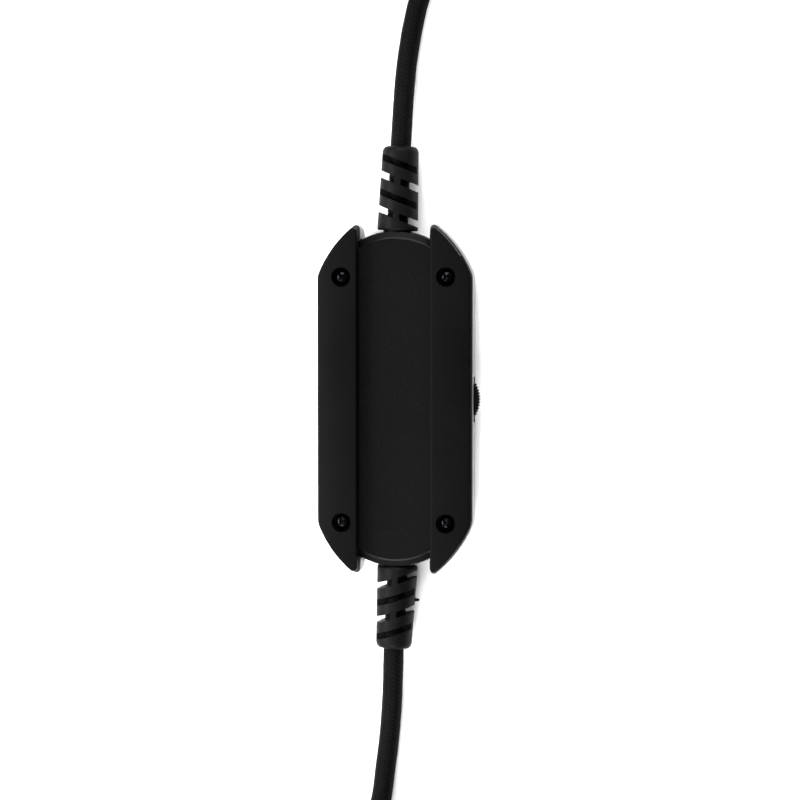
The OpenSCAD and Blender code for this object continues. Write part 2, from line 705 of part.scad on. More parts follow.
// Four wires that fan out from the cord's end to the board
module conductors() {
    for (i = [0:3])
        let (s = i - 1.5, x = s * 0.9, z = cord_z + (i % 2 ? 0.7 : -0.7), y = board_l / 2)
        tube([[x, cord_end, z], [x, cord_end - 1.5, z], [s * 1.6, y + 3, (z + board_top) / 2 + 0.6],
            [s * 2.4, y + 0.3, board_top + 0.9], [s * 2.4, y - 1.6, board_top + 0.5]], 0.45, 6);
}

module upper_conductors() { color("#a03030") conductors(); }
module lower_conductors() { color("#a03030") mirror([0, 1, 0]) conductors(); }

// ---- plugs ----

module at_upper_plug() {
    at_upper_hank() translate([tail_r, -run_h + tail_run, plug_z(upper_layers)]) rotate([-90, 0, 0]) children();
}
module at_lower_plug() {
    at_lower_hank() translate([tail_r, -run_h + tail_run, plug_z(lower_layers)]) rotate([-90, 0, 0]) children();
}

module plug_grip() {
    r = grip_d / 2;
    l = relief_l + grip_l;
    color(rubber) rotate_extrude() polygon([[0, 0], [cord_r + 0.5, 0], [r - 0.5, relief_l],
        [r, relief_l + 0.6], [r, relief_l + 3], [r - 0.25, relief_l + 5], [r - 0.25, l - 5],
        [r, l - 3], [r, l - 0.6], [r - 0.6, l], [0, l]]);
}

core_r = 1.2;
gap_l = 0.6;
pole_l = (jack_l - 3 * gap_l) / 4.2;
tip_l = jack_l - 3 * (pole_l + gap_l);

module plug_contacts() {
    r = jack_d / 2;
    color(gold) translate([0, 0, relief_l + grip_l]) {
        for (k = [0:2]) translate([0, 0, k * (pole_l + gap_l)]) difference() {
            cylinder(r = r, h = pole_l);
            translate([0, 0, -1]) cylinder(r = core_r, h = pole_l + 2);
        }
        translate([0, 0, 3 * (pole_l + gap_l)]) rotate_extrude()
            polygon([[0, 0], [r, 0], [r, 0.4], [r - 0.55, 1.0], [r - 0.1, 1.9], [0.5, tip_l], [0, tip_l]]);
    }
}

module plug_insulator() {
    color(black) translate([0, 0, relief_l + grip_l]) {
        cylinder(r = core_r, h = 3 * (pole_l + gap_l));
        for (k = [1:3]) translate([0, 0, k * pole_l + (k - 1) * gap_l]) cylinder(d = jack_d, h = gap_l);
    }
}

module upper_plug_grip() { at_upper_plug() plug_grip(); }
module lower_plug_grip() { at_lower_plug() plug_grip(); }
module upper_plug_contacts() { at_upper_plug() plug_contacts(); }
module lower_plug_contacts() { at_lower_plug() plug_contacts(); }
module upper_plug_insulator() { at_upper_plug() plug_insulator(); }
module lower_plug_insulator() { at_lower_plug() plug_insulator(); }

rear_cover();
front_shell();
cover_screws();
circuit_board();
board_screws();
amplifier_chip();
capacitors();
potentiometer_body();
potentiometer_terminals();
potentiometer_shaft();
volume_wheel();
wheel_screw();
mute_slider();
switch_lever();
switch_body();
switch_terminals();
upper_strain_relief();
lower_strain_relief();
upper_crimp();
lower_crimp();
upper_conductors();
lower_conductors();
upper_lead();
lower_lead();
upper_hank();
lower_hank();
upper_tie();
lower_tie();
upper_plug_grip();
lower_plug_grip();
upper_plug_contacts();
lower_plug_contacts();
upper_plug_insulator();
lower_plug_insulator();
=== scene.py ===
"""Dresses an in-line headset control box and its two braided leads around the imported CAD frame."""

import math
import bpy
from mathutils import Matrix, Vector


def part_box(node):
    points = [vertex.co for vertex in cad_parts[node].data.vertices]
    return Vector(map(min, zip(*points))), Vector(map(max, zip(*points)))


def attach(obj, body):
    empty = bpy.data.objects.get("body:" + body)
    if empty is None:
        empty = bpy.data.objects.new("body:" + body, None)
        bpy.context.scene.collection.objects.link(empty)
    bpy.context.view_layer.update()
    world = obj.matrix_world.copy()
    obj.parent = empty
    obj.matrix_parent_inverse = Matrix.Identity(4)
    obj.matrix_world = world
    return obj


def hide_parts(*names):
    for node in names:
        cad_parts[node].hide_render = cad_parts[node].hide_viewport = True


bl_info = {
    "name": "Headset Control Box",
    "version": (1, 0, 0),
    "blender": (4, 5, 0),
    "location": "View3D > Sidebar > Control Box",
    "description": "Makes an in-line headset control box with braided leads, and the stage it lies on",
    "category": "Add Mesh",
}

import bmesh
import bpy
from mathutils import Matrix, Vector, noise

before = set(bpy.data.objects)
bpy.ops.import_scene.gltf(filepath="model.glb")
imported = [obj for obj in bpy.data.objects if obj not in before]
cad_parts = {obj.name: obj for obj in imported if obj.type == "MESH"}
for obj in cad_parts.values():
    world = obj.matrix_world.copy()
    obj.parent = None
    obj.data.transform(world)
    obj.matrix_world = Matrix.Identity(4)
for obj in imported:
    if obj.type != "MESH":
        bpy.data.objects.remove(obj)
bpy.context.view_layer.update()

MM = 0.001


def linear(hex_colour):
    """An sRGB hex colour as linear red, green, blue and alpha."""
    parts = [int(hex_colour[i : i + 2], 16) / 255 for i in (1, 3, 5)]
    return [c / 12.92 if c <= 0.04045 else ((c + 0.055) / 1.055) ** 2.4 for c in parts] + [1.0]


# ---------------------------------------------------------------- values, in metres

# Widths and depths of the materials' textures: plastic, paint, rubber, braid, tape, board and paper.
PATCH_WIDTH = 1 / 60
FLAKE_WIDTH = 0.16 * MM
PEEL_WIDTH = 1.2 * MM
PEEL_DEPTH = 0.004 * MM
RUBBER_DEPTH = 0.012 * MM
BRAID_DEPTH = 0.07 * MM
LOOP_WIDTH = 0.35 * MM
LOOP_DEPTH = 0.15 * MM
FIELD_WIDTH = 2.4 * MM
TOOTH_WIDTH = 1 / 900
TOOTH_DEPTH = 0.02 * MM

# The distance between two points of a cord's smoothed line.
PATH_STEP = 1.5 * MM

# Corners of a CAD mesh that are nearer than this become one, and edges flatter than this go.
WELD = 0.002 * MM
FLAT = math.radians(0.5)

# The camera: its place, the point it looks at, the size there of one pixel, the picture's side in
# pixels, and the sensor's side in millimetres.
CAMERA = Vector((57.15, 26, 480)) * MM
TARGET = Vector((1.55, 0.15, 13.5)) * MM
PIXEL = 0.22 * MM
PICTURE = 800
SENSOR = 36

# Each lamp's name, place, side, and power in watts. All of them face the box.
LAMPS = (
    ("side", (-0.9, 0.0, 0.7), 0.7, 24),
    ("back", (0.0, 0.9, 0.7), 0.7, 18),
    ("fill", (-0.65, -0.65, 0.7), 0.7, 8),
    ("far_fill", (0.65, 0.65, 0.7), 0.7, 5),
    ("low", (-0.05, -0.45, 0.35), 0.25, 4.0),
    ("spark", (-0.04, -0.22, 0.62), 0.05, 0.4),
    ("spark_far", (-0.02, 0.27, 0.62), 0.05, 0.4),
)
WORLD_STRENGTH = 0.2

# The cover: the angle over which an edge of it is sharp, its materials, the height and half width of its
# channel, and where its steep outer flanks begin.
COVER_CREASE = math.radians(24)
SATIN, GRAIN, BURNISHED, MATT = range(4)
CHANNEL_Z = 10.0 * MM
CHANNEL_NEAR = 0.05 * MM
CHANNEL_HALF = 8.35 * MM
FLANK_X = 15.0 * MM
FLANK_RISE = 0.75

# How level the channel's floor and the sloping band at its end are, how far out the band lies, and the
# radius of the edge between them.
FLOOR_RISE = 0.99
BAND_RISE = (0.75, 0.9)
BAND_Y = 25.0 * MM
ARCH_EDGE = 0.3 * MM

# Edges: the shell's as a share of the housing's, the knurl's, the knob's, the screws' and the sleeves'.
SHELL_EDGE = 0.8
KNURL_EDGE = 0.05 * MM
KNOB_EDGE = 0.12 * MM
SCREW_EDGE = 0.12 * MM
SLEEVE_EDGE = 0.26 * MM

# The cover screws' places, and how their heads are finished. Depths are from the CAD heads' tops.
SCREW_X = 11.6 * MM
SCREW_Y = 27.15 * MM
RECESS_FLOOR = (0.4 * MM, 0.9 * MM)
RECESS_POINT = 0.28 * MM
UPWARD = 0.9
DOME_RADIUS = 0.8 * MM
DOME_EDGE = 0.1 * MM
DOME_HEIGHT = 0.17 * MM
HEAD_DEPTH = 1.3 * MM
HEAD_LIFT = 0.45 * MM

# The nib that the mould's gate leaves on the lower sleeve.
GATE = Vector((4.4, -45.3, 5)) * MM
GATE_TILT = math.radians(80)
GATE_ROOT = 0.42 * MM
GATE_TIP = 0.24 * MM
GATE_LENGTH = 1.0 * MM


# ---------------------------------------------------------------- settings


def colour(name, description, default):
    return bpy.props.FloatVectorProperty(
        name=name, description=description, default=linear(default), subtype="COLOR", size=4, min=0, max=1
    )


def length(name, description, default):
    return bpy.props.FloatProperty(
        name=name, description=description, default=default, unit="LENGTH", min=0
    )


class HousingSettings(bpy.types.PropertyGroup):
    """Colours and edges of the housing."""

    cover: colour("Cover", "Colour of the moulded rear cover", "#040404")
    shell: colour("Shell", "Colour of the painted front shell", "#404040")
    rubber: colour("Rubber", "Colour of the wheel and the strain reliefs", "#050505")
    steel: colour("Screws", "Colour of the blackened cover screws", "#18181a")
    edge: length("Edge", "Radius that softens the moulded edges", 0.12 * MM)


class LeadSettings(bpy.types.PropertyGroup):
    """Sizes and colours of the leads, straps and plugs."""

    diameter: length("Cord", "Diameter of the braided cord", 4.6 * MM)
    yarn: length("Yarn", "Width of one column of crossings in the braid", 1.2 * MM)
    pick: length("Pick", "Distance between the crossings along the braid", 1.0 * MM)
    braid: colour("Braid", "Colour of the braided sleeve", "#030303")
    strap: colour("Strap", "Colour of the hook and loop straps", "#040404")
    contact: colour("Contacts", "Colour of the plated contacts", "#d8b45a")


class StageSettings(bpy.types.PropertyGroup):
    """The floor, the lights and the camera."""

    floor: colour("Floor", "Colour of the floor", "#f4f4f4")
    floor_size: length("Floor size", "Side of the square floor", 6.0)


GROUPS = (
    ("box_housing", HousingSettings),
    ("box_leads", LeadSettings),
    ("box_stage", StageSettings),
)


# ---------------------------------------------------------------- materials


def add(tree, kind, values=None, links=None, **attributes):
    """Adds a node with its attributes, its sockets' values and the outputs it takes, and returns it."""
    new = tree.nodes.new(kind)
    for name, value in attributes.items():
        setattr(new, name, value)
    for socket, value in (values or {}).items():
        new.inputs[socket].default_value = value
    for socket, source in (links or {}).items():
        tree.links.new(source, new.inputs[socket])
    return new


def surface(name, values):
    """A new material with a Principled shader of these values: (material, tree, shader, coordinates)."""
    material = bpy.data.materials.new(name)
    material.use_nodes = True
    tree = material.node_tree
    tree.nodes.clear()
    shader = add(tree, "ShaderNodeBsdfPrincipled", values)
    add(tree, "ShaderNodeOutputMaterial", links={"Surface": shader.outputs["BSDF"]})
    return material, tree, shader.inputs, add(tree, "ShaderNodeTexCoord").outputs


def speckle(tree, at, width, detail, **values):
    """Noise with features about width metres wide, in the object's own coordinates."""
    values |= {"Scale": 1 / width, "Detail": detail}
    return add(tree, "ShaderNodeTexNoise", values, {"Vector": at["Object"]}).outputs["Fac"]


def maths(tree, operation, *terms):
    """The result of a Math node. Its terms are numbers or other nodes' outputs."""
    node = add(tree, "ShaderNodeMath", operation=operation)
    for socket, term in zip(node.inputs, terms):
        if isinstance(term, bpy.types.NodeSocket):
            tree.links.new(term, socket)
        else:
            socket.default_value = term
    return node.outputs[0]


def spanned(tree, source, low, high, start=0.3, end=0.7):
    """The source's stretch from start to end, laid over the values from low to high."""
    reach = {"From Min": start, "From Max": end, "To Min": low, "To Max": high}
    return add(tree, "ShaderNodeMapRange", reach, {"Value": source}).outputs["Result"]


def tinted(tree, shader, base, share):
    """Makes the surface's colour share times the base colour."""
    tint = add(tree, "ShaderNodeVectorMath", {0: base[:3]}, {"Scale": share}, operation="SCALE")
    tree.links.new(tint.outputs["Vector"], shader["Base Color"])


def glossed(tree, shader, roughness):
    """Makes the surface's roughness follow a node's output."""
    tree.links.new(roughness, shader["Roughness"])


def dented(tree, shader, height, depth, strength=1.0):
    """Gives the surface the relief of a node's output, depth metres deep."""
    relief = {"Strength": strength, "Distance": depth}
    bump = add(tree, "ShaderNodeBump", relief, {"Height": height})
    tree.links.new(bump.outputs["Normal"], shader["Normal"])


def grained_abs(base, name, roughness, grain, depth, spread=0.25, level=0.05):
    """Moulded black ABS: spark-eroded tool texture, which breaks its gloss into a fine sparkle.
    Grain is the texture's width in metres, drawn a little coarse so that it shows, and depth its height.
    Spread is how far its shade varies, and level the strength of its gloss."""
    material, tree, shader, at = surface(name, {"Roughness": roughness, "Specular IOR Level": level})
    pits = speckle(tree, at, grain, 2.5, Roughness=0.6)
    patches = speckle(tree, at, PATCH_WIDTH, 2)
    tinted(tree, shader, base, spanned(tree, pits, 1 - spread, 1 + spread))
    glossed(tree, shader, spanned(tree, patches, roughness - 0.04, roughness + 0.05))
    dented(tree, shader, pits, depth)
    return material


def silver_paint(base):
    """ABS sprayed with silver paint: aluminium flakes, whose greys differ, under a satin lacquer."""
    values = {"Metallic": 0.75, "Roughness": 0.34, "Coat Weight": 0.25, "Coat Roughness": 0.2}
    material, tree, shader, at = surface("silver_sprayed_abs", values)
    flakes = add(tree, "ShaderNodeTexVoronoi", {"Scale": 1 / FLAKE_WIDTH}, {"Vector": at["Object"]})
    grey = add(tree, "ShaderNodeSeparateColor", links={"Color": flakes.outputs["Color"]})
    tinted(tree, shader, base, spanned(tree, grey.outputs["Red"], 0.88, 1.12, 0, 1))
    dented(tree, shader, speckle(tree, at, PEEL_WIDTH, 2), PEEL_DEPTH, 0.6)
    return material


def moulded_rubber(base, name="moulded_tpe", roughness=0.5):
    """Injection-moulded thermoplastic rubber: matt, with a faint cloudiness and fine pits."""
    material, tree, shader, at = surface(name, {"Roughness": roughness, "Specular IOR Level": 0.06})
    cloud = speckle(tree, at, 1.5 * MM, 4)
    pits = speckle(tree, at, 0.2 * MM, 2)
    tinted(tree, shader, base, spanned(tree, cloud, 0.8, 1.2))
    dented(tree, shader, pits, RUBBER_DEPTH)
    return material


def plated_metal(base, name, roughness, scratch=0.3):
    """Drawn or turned metal with a thin finish: fine marks that vary its shade and its gloss."""
    material, tree, shader, at = surface(name, {"Metallic": 1.0})
    marks = speckle(tree, at, 0.35 * MM, 3, Distortion=0.6)
    tinted(tree, shader, base, spanned(tree, marks, 1 - scratch, 1 + scratch * 0.5))
    glossed(tree, shader, spanned(tree, marks, roughness * 0.75, roughness * 1.3))
    return material


def braided_polyester(base, yarn, pick, girth):
    """Braided polyester sleeve: bundles of yarns that pass over two and under two, so that columns of
    short slanting floats stand side by side and lean opposite ways. The UV map holds the way round and
    the way along the cord, both in girths."""
    values = {"Roughness": 0.6, "Specular IOR Level": 0.035}
    material, tree, shader, at = surface("braided_polyester", values)
    uv = add(tree, "ShaderNodeSeparateXYZ", links={"Vector": at["UV"]}).outputs
    around = maths(tree, "MULTIPLY", uv["X"], 2 * round(girth / yarn / 2))
    along = maths(tree, "MULTIPLY", uv["Y"], girth / pick)
    # The lean turns over in each column, and every other column is half a pick ahead.
    lean = maths(tree, "PINGPONG", around, 1.0)
    odd = maths(tree, "FLOORED_MODULO", maths(tree, "FLOOR", around), 2.0)
    ahead = maths(tree, "MULTIPLY_ADD", odd, 0.5, along)
    slant = maths(tree, "MULTIPLY_ADD", lean, 0.9, ahead)
    wave = maths(tree, "COSINE", maths(tree, "MULTIPLY", slant, 2 * math.pi))
    # A float stands highest in the middle of its column and falls off to both sides.
    across = maths(tree, "MULTIPLY_ADD", maths(tree, "FRACT", around), 2.0, -1.0)
    fall = maths(tree, "POWER", maths(tree, "ABSOLUTE", across), 4.0)
    crown = maths(tree, "SUBTRACT", 1.0, fall)
    level = maths(tree, "MULTIPLY", spanned(tree, wave, 0, 1, -1, 1), crown)
    # Single filaments, drawn three to a float, and the stray fibres that blur them.
    strand = maths(tree, "COSINE", maths(tree, "MULTIPLY", slant, 6 * math.pi))
    fuzz = speckle(tree, at, 0.14 * MM, 3)
    blotch = speckle(tree, at, 1.6 * MM, 3)
    height = maths(tree, "MULTIPLY_ADD", fuzz, 0.35, level)
    height = maths(tree, "MULTIPLY_ADD", strand, 0.08, height)
    # The colour follows the floats' height over a random blotchy tone: painted shade in the hollows
    # between floats and a painted highlight along their crowns.
    shade = maths(tree, "MULTIPLY_ADD", level, 0.5, blotch)
    tinted(tree, shader, base, spanned(tree, shade, 0.4, 1.8, 0.35, 1.0))
    dented(tree, shader, height, BRAID_DEPTH)
    return material


def woven_strap(base):
    """Hook and loop tape: a dense ground weave under short nylon loops."""
    values = {"Roughness": 0.85, "Specular IOR Level": 0.08, "Sheen Weight": 0.02}
    material, tree, shader, at = surface("loop_tape", values)
    cells = {"Scale": 1 / LOOP_WIDTH, "Randomness": 0.9}
    loops = add(tree, "ShaderNodeTexVoronoi", cells, {"Vector": at["Object"]})
    fibres = speckle(tree, at, 0.15 * MM, 4, Distortion=1.5)
    height = maths(tree, "SUBTRACT", fibres, loops.outputs["Distance"])
    # The colour follows the loops' height over the fibres' random tone: painted shade in the hollows
    # between loops and a painted highlight on their tops.
    tinted(tree, shader, base, spanned(tree, height, 0.5, 1.6, -0.2, 0.5))
    dented(tree, shader, height, LOOP_DEPTH)
    return material


def board_laminate():
    """Glass-epoxy laminate under green solder mask, with paler lines between darker fields."""
    mask = linear("#1d4a33")
    values = {
        "Scale": 1 / FIELD_WIDTH,
        "Color1": mask,
        "Color2": [c * 1.3 for c in mask[:3]] + [1],
        "Mortar": linear("#2f6b49"),
        "Mortar Size": 0.05,
    }
    material, tree, shader, at = surface("fr4_solder_mask", {"Roughness": 0.3})
    fields = add(tree, "ShaderNodeTexBrick", values, {"Vector": at["Object"]})
    tree.links.new(fields.outputs["Color"], shader["Base Color"])
    return material


def floor_paper(base):
    """Seamless studio paper: matt, with the faintest tooth."""
    material, tree, shader, at = surface("studio_paper", {"Base Color": base, "Roughness": 0.9})
    dented(tree, shader, speckle(tree, at, TOOTH_WIDTH, 2), TOOTH_DEPTH, 0.2)
    return material


# ---------------------------------------------------------------- meshes


def piece(name, bm, materials, body, replaced=()):
    """Makes a bmesh a finished piece that rides on body, and frees the bmesh."""
    mesh = bpy.data.meshes.new(name)
    bm.to_mesh(mesh)
    bm.free()
    made = bpy.data.objects.new(name, mesh)
    bpy.context.scene.collection.objects.link(made)
    for material in materials:
        mesh.materials.append(material)
    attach(made, body)
    if replaced:
        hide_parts(*replaced)
    return made


def weigh(made):
    """Lets wide flat faces keep their own shading beside the narrow rounded edges."""
    weighted = made.modifiers.new("weighted_normals", "WEIGHTED_NORMAL")
    weighted.keep_sharp = True
    return made


def rounded(bm, edges, radius, segments):
    """Gives these edges of a bmesh a radius, and returns the faces that make it."""
    return bmesh.ops.bevel(
        bm,
        geom=edges,
        offset=radius,
        offset_type="OFFSET",
        affect="EDGES",
        segments=segments,
        profile=0.5,
        material=-1,
        clamp_overlap=True,
    )["faces"]


def softened(node, edge, crease=math.radians(32), segments=2, rolled=None, roll=0.0):
    """A copy of a CAD node as a bmesh: its loose triangles joined, its flat faces whole and its sharp
    edges rounded. The edges that rolled picks get the radius roll and the burnished material."""
    bm = bmesh.new()
    bm.from_mesh(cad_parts[node].data)
    bmesh.ops.remove_doubles(bm, verts=bm.verts, dist=WELD)
    bmesh.ops.dissolve_limit(bm, angle_limit=FLAT, verts=bm.verts, edges=bm.edges)
    if rolled:
        for face in rounded(bm, [e for e in bm.edges if rolled(e)], roll, 4):
            face.material_index = BURNISHED
    if edge:
        sharp = [e for e in bm.edges if e.is_manifold and e.calc_face_angle(0) > crease]
        rounded(bm, sharp, edge, segments)
    for face in bm.faces:
        face.smooth = True
    for e in bm.edges:
        e.smooth = not e.is_manifold or e.calc_face_angle(0) < crease
    return bm


def dress(node, *materials):
    """Gives a CAD node that keeps its own mesh its materials."""
    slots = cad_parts[node].data.materials
    slots.clear()
    for material in materials:
        slots.append(material)


# ---------------------------------------------------------------- cords, in millimetres

# Sizes of the CAD's cords, hanks and ties. A hank's line runs up its right side, round the far fold,
# down its left side and round the near fold, and each of its turns lies beside or on the one before.
CORD_Z = 5.0
SLEEVE_Y = 37.55
SLEEVE_END = 56
CORD_END = 29.5
CORD_R = 2.25
FOLD_R = 13.5
RUN_H = 20.0
TURN_PITCH = 5.5
LAYER_PITCH = 4.95
WAIST_IN = 6.0
TIE_LIFT = 1.1
TIE_T = 0.8
TIE_W = 8.0
TIE_GAP = 0.2
GRIP_R = 3.75
GRIP_GAP = 0.1
OUTER_R = FOLD_R + TURN_PITCH
TAIL_R = OUTER_R - 4.5
TAIL_RUN = 14.0
TAIL_STEPS = 10
HANK_X = -1.4

# Points on one side of a hank and on one fold, and the quarter of a loop that each of them takes.
RUN_STEPS = 5
FOLD_STEPS = 7
HALF_STEPS = RUN_STEPS + FOLD_STEPS
QUARTER = 0.25

# The strap's ribbon: its gaps to the hank's sides, to the table and between laps, its inner bend, its
# rounded free end and its edges. Runs cross it at a slant, and the left side's turns lie further in.
RUN_SLANT = 1.06
LEFT_IN = 0.45 * TURN_PITCH
SIDE_GAP = 0.15
TABLE_GAP = 0.05
LAP_GAP = 0.06
STRAP_BEND = 2.0
STRAP_TIP = 2.2
STRAP_EDGE = 0.18
STRAP_STEPS = 8
STRAP_START = -5.0
# The free end over the strap's own start: the way across, the laps that it has climbed, and its lift.
LAP = ((-8.5, 0.0, 0.0), (-6.5, 0.5, 0.0), (-4.5, 1.0, 0.0), (5.0, 1.0, 0.0), (7.0, 1.0, 0.25))

UPPER = {
    "layers": 2,
    "hank_y": 135.0,
    "lean": 2.2,
    "turned": False,
    "route": [
        (0.95, 61, 4.6), (1.3, 68.5, 3.5), (1.95, 76, 2.6), (3.4, 84.5, 2.25),
        (4.4, 88.5, 2.25), (5.8, 92.3, 2.25), (8.1, 95.6, 2.25), (10.7, 98.1, 2.25),
        (13.3, 100.6, 2.25), (15.5, 103.3, 2.25), (17, 106.7, 2.25),
    ],
}
LOWER = {
    "layers": 4,
    "hank_y": 139.5,
    "lean": 2.8,
    "turned": True,
    "route": [
        (1.05, 61, 4.6), (1.45, 68.5, 3.5), (2.1, 76, 2.6), (3.15, 84.5, 2.25),
        (4.2, 92, 2.25), (5.6, 96.6, 2.25), (8, 100, 2.25), (10.7, 102.6, 2.25),
        (13.3, 105.1, 2.25), (15.5, 107.8, 2.25), (17, 111.2, 2.25),
    ],
}
LEADS = (("upper", UPPER), ("lower", LOWER))


def smoothstep(x):
    """A smooth step from 0 to 1."""
    x = min(max(x, 0), 1)
    return x * x * (3 - 2 * x)


def spiral_r(t):
    """The radius t loops from the start: after its first quarter, each loop moves one turn in or out."""
    share = max(t - math.floor(t) - QUARTER, 0) / (1 - QUARTER)
    return OUTER_R - TURN_PITCH * ((1 - share) if math.floor(t) % 2 else share)


def layer_z(t, layers):
    """The height t loops from the start: each loop climbs one layer in its first quarter."""
    return CORD_R + LAYER_PITCH * sum(smoothstep((t - k) / QUARTER) for k in range(1, layers))


def waisted(x, y, z):
    """Draws a point of a hank's side in and up to its tie."""
    w = (1 + math.cos(math.pi * y / RUN_H)) / 2
    return x - math.copysign(WAIST_IN * w, x), y, z + TIE_LIFT * w


def around_fold(r, turn, z, side):
    """A point at the angle turn of the hank's far fold, at side 1, or of its near one, at side -1."""
    return r * math.cos(turn), side * RUN_H + r * math.sin(turn), z


def loop_point(t, layers):
    """The point of the hank's line that is t loops from its start."""
    quarters = (t - math.floor(t)) / QUARTER
    r = spiral_r(t)
    z = layer_z(t, layers)
    if quarters < 1:
        return waisted(r, RUN_H * (2 * quarters - 1), z)
    if quarters < 2:
        return around_fold(r, math.pi * (quarters - 1), z, 1)
    if quarters < 3:
        return waisted(-r, RUN_H * (5 - 2 * quarters), z)
    return around_fold(r, math.pi * (quarters - 2), z, -1)


def step_t(k):
    """How many loops from the hank's start its point k lies."""
    half, m = divmod(k, HALF_STEPS)
    share = m / RUN_STEPS if m < RUN_STEPS else 1 + (m - RUN_STEPS) / FOLD_STEPS
    return half / 2 + share * QUARTER


def tie_top(layers):
    """The height of the tie's inner face over the hank."""
    return 2 * CORD_R + (layers - 1) * LAYER_PITCH + TIE_LIFT + TIE_GAP


def plug_z(layers):
    """The height of the plug's axis: its grip rests on the tie."""
    return tie_top(layers) + TIE_T + GRIP_R + GRIP_GAP


def tail_point(i, layers):
    """The last near fold climbs to the top of the hank and leads to the plug."""
    fold, run = math.pi * OUTER_R, TAIL_RUN - 2 * CORD_R
    on_run = max(i - FOLD_STEPS, 0) / 2 * run
    along = i / FOLD_STEPS * fold if i < FOLD_STEPS else fold + on_run
    r0, z0 = spiral_r(layers - QUARTER), layer_z(layers - QUARTER, layers)
    z = z0 + (plug_z(layers) - z0) * smoothstep(along / (fold + run))
    if i > FOLD_STEPS:
        return TAIL_R, -RUN_H + on_run, z
    share = i / FOLD_STEPS
    return around_fold(r0 + (TAIL_R - r0) * smoothstep(share), math.pi * (1 + share), z, -1)


def cord_points(lead):
    """The points that the CAD lead and hank go through, in metres: out of the box, along the table and
    round the hank."""
    lean = math.tan(math.radians(lead["lean"]))
    swing = lean * (SLEEVE_END - SLEEVE_Y)
    points = [(0, CORD_END, CORD_Z), (0, SLEEVE_Y, CORD_Z), (swing, SLEEVE_END, CORD_Z)]
    points += lead["route"]
    layers = lead["layers"]
    # The last near fold is the tail's, which climbs.
    loops = 2 * HALF_STEPS * layers - FOLD_STEPS
    hank = [(OUTER_R, -RUN_H - 2 * CORD_R, CORD_R)]
    hank += [loop_point(step_t(k), layers) for k in range(loops)]
    hank += [tail_point(i, layers) for i in range(TAIL_STEPS)]
    hank.append((TAIL_R, -RUN_H + TAIL_RUN, plug_z(layers)))
    points += [(x + HANK_X, y + lead["hank_y"], z) for x, y, z in hank]
    sign = -1 if lead["turned"] else 1
    return [Vector((sign * x, sign * y, z)) * MM for x, y, z in points]


def smooth_path(points, step):
    """A line through the points, rounded by a centripetal Catmull-Rom spline, with a point about every
    step."""
    fine = []
    ends = [2 * points[0] - points[1]] + points + [2 * points[-1] - points[-2]]
    for p0, p1, p2, p3 in zip(ends, ends[1:], ends[2:], ends[3:]):
        t1 = (p1 - p0).length ** 0.5
        t2 = t1 + (p2 - p1).length ** 0.5
        t3 = t2 + (p3 - p2).length ** 0.5
        count = max(1, round((p2 - p1).length / step))
        for i in range(count):
            t = t1 + (t2 - t1) * i / count
            a1 = p0 * ((t1 - t) / t1) + p1 * (t / t1)
            a2 = p1 * ((t2 - t) / (t2 - t1)) + p2 * ((t - t1) / (t2 - t1))
            a3 = p2 * ((t3 - t) / (t3 - t2)) + p3 * ((t - t2) / (t3 - t2))
            b1 = a1 * ((t2 - t) / t2) + a2 * (t / t2)
            b2 = a2 * ((t3 - t) / (t3 - t1)) + a3 * ((t - t1) / (t3 - t1))
            fine.append(b1 * ((t2 - t) / (t2 - t1)) + b2 * ((t - t1) / (t2 - t1)))
    return fine + [points[-1]]


def newest(made, kind):
    """The edges, faces or vertices of what an extrusion made."""
    return [g for g in made if isinstance(g, kind)]


def swept_cord(path, radius, sides=24, unevenness=0.06 * MM, lump=1.7 * MM):
    """A tube as a bmesh, its ring pulled along the path by extrusion, with a UV map in girths. The braid
    swells and shrinks a little over the wires."""
    bm = bmesh.new()
    uv = bm.loops.layers.uv.new("UVMap")
    last = len(path) - 1
    ahead = [(path[min(i + 1, last)] - path[max(i - 1, 0)]).normalized() for i in range(last + 1)]
    turn = Vector((0, 0, 1)).rotation_difference(ahead[0]).to_matrix().to_4x4()
    ring = bmesh.ops.create_circle(bm, cap_ends=True, segments=sides, radius=radius)["verts"]
    # Each vertex's place round the ring, which its copies keep.
    order = {v: round(math.atan2(v.co.y, v.co.x) / math.tau * sides) % sides for v in ring}
    bmesh.ops.transform(bm, verts=ring, matrix=Matrix.Translation(path[0]) @ turn)
    edges = list(bm.edges)
    girth, far = 2 * math.pi * radius, 0.0
    for here, there, way, next_way in zip(path, path[1:], ahead, ahead[1:]):
        turn = way.rotation_difference(next_way).to_matrix().to_4x4()
        made = bmesh.ops.extrude_edge_only(bm, edges=edges)["geom"]
        edges = newest(made, bmesh.types.BMEdge)
        verts = newest(made, bmesh.types.BMVert)
        places = {}
        for v in verts:
            nearby = [e.other_vert(v) for e in v.link_edges]
            places[v] = next(order[other] for other in nearby if other in order)
        order |= places
        move = Matrix.Translation(there) @ turn @ Matrix.Translation(-here)
        bmesh.ops.transform(bm, verts=verts, matrix=move)
        nearer, far = far, far + (there - here).length
        for face in newest(made, bmesh.types.BMFace):
            face.smooth = True
            wrap = {0, sides - 1} <= {order[v] for v in face.verts}
            for loop in face.loops:
                around = order[loop.vert]
                around = sides if wrap and around == 0 else around
                loop[uv].uv = around / sides, (far if loop.vert in places else nearer) / girth
        order = places
    bmesh.ops.holes_fill(bm, edges=edges, sides=sides)
    bmesh.ops.recalc_face_normals(bm, faces=bm.faces)
    bm.normal_update()
    swell = [unevenness * noise.noise(v.co / lump) for v in bm.verts]
    for v, out in zip(bm.verts, swell):
        v.co += v.normal * out
    return bm


